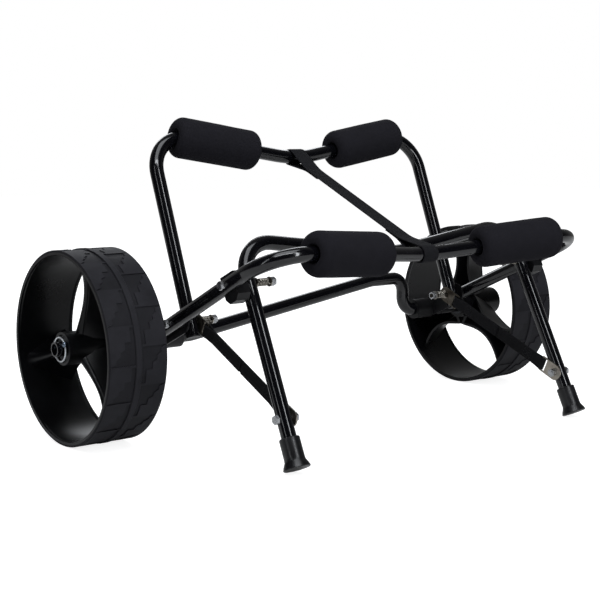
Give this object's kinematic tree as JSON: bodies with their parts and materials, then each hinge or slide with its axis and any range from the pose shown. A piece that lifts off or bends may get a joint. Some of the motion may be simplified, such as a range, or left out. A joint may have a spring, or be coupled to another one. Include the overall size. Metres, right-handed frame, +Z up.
{
  "type": "kayak cart",
  "caption": "Two-wheeled boat trolley: V-dipped padded hoops, a rear hoop that folds forward, a folding kickstand, deep plastic wheels on a cranked axle and webbing stays.",
  "frame": {"origin": "on the ground under the middle of the axle", "axes": "+X along the axle to the wheel beside the axle's drop, +Y to the rear (away from the kickstand), +Z up"},
  "size_m": [0.81, 0.4426, 0.4225],
  "materials": {
    "tube": "gloss",
    "foam": "matte",
    "plastic": "matte",
    "bush": "satin",
    "rim": "gloss",
    "tread": "matte",
    "foot": "satin",
    "zinc": "satin",
    "spring": "satin",
    "stainless": "satin",
    "webbing": "matte"
  },
  "bodies": {
    "frame": {"axle_tube": "tube", "front_frame_tube": "tube", "top_strap": "webbing", "front_pad_left": "foam", "front_pad_right": "foam", "axle_bracket_left": "plastic", "axle_bracket_right": "plastic", "pivot_spacer_left": "plastic", "pivot_spacer_right": "plastic", "axle_sleeve_left": "plastic", "axle_sleeve_right": "plastic", "axle_washers_left": "zinc", "axle_washers_right": "zinc", "lynch_pin_left": "zinc", "lynch_pin_right": "zinc", "main_pivot_bolt_left": "zinc", "main_pivot_bolt_right": "zinc", "main_pivot_washers_left": "zinc", "main_pivot_washers_right": "zinc", "main_pivot_spring_left": "spring", "main_pivot_spring_right": "spring", "main_pivot_nut_left": "zinc", "main_pivot_nut_right": "zinc", "stay_upper_tab_left": "stainless", "stay_upper_tab_right": "stainless", "stay_strap_left": "webbing", "stay_strap_right": "webbing", "kick_bracket_left": "plastic", "kick_bracket_right": "plastic", "kick_pivot_bolt_left": "zinc", "kick_pivot_bolt_right": "zinc", "kick_pivot_washers_left": "zinc", "kick_pivot_washers_right": "zinc", "kick_pivot_spring_left": "spring", "kick_pivot_spring_right": "spring", "kick_pivot_nut_left": "zinc", "kick_pivot_nut_right": "zinc"},
    "back_frame": {"back_frame_tube": "tube", "back_pad_left": "foam", "back_pad_right": "foam", "back_plug_left": "plastic", "back_plug_right": "plastic"},
    "kickstand": {"kickstand_tube": "tube", "kick_foot_left": "foot", "kick_foot_right": "foot", "stay_lower_tab_left": "stainless", "stay_lower_tab_right": "stainless", "stay_bolt_left": "zinc", "stay_bolt_right": "zinc", "stay_nut_left": "zinc", "stay_nut_right": "zinc"},
    "wheel_left": {"wheel_rim_left": "rim", "tyre_left": "tread", "hub_bush_left": "bush"},
    "ring_left": {"lynch_ring_left": "zinc"},
    "wheel_right": {"wheel_rim_right": "rim", "tyre_right": "tread", "hub_bush_right": "bush"},
    "ring_right": {"lynch_ring_right": "zinc"}
  },
  "joints": [
    {"name": "back_frame_fold", "type": "hinge", "parent": "frame", "child": "back_frame", "pos_m": [0, -0.06188, 0.1552], "axis": [1, 0, 0], "range_deg": [0, 55], "deforming": ["top_strap"]},
    {"name": "kickstand_fold", "type": "hinge", "parent": "frame", "child": "kickstand", "pos_m": [0, -0.1981, 0.21728], "axis": [1, 0, 0], "range_deg": [0, 70], "deforming": ["stay_strap_left", "stay_strap_right"]},
    {"name": "wheel_left_spin", "type": "hinge", "parent": "frame", "child": "wheel_left", "pos_m": [-0.356, 0, 0.127], "axis": [1, 0, 0], "continuous": true},
    {"name": "wheel_right_spin", "type": "hinge", "parent": "frame", "child": "wheel_right", "pos_m": [0.356, 0, 0.127], "axis": [1, 0, 0], "continuous": true},
    {"name": "ring_left_flip", "type": "hinge", "parent": "frame", "child": "ring_left", "pos_m": [-0.3966, -0.01201, 0.1342], "axis": [0, 0.5145, 0.8575], "range_deg": [0, 90]},
    {"name": "ring_right_flip", "type": "hinge", "parent": "frame", "child": "ring_right", "pos_m": [0.3966, -0.01201, 0.1342], "axis": [0, -0.5145, -0.8575], "range_deg": [0, 90]}
  ]
}
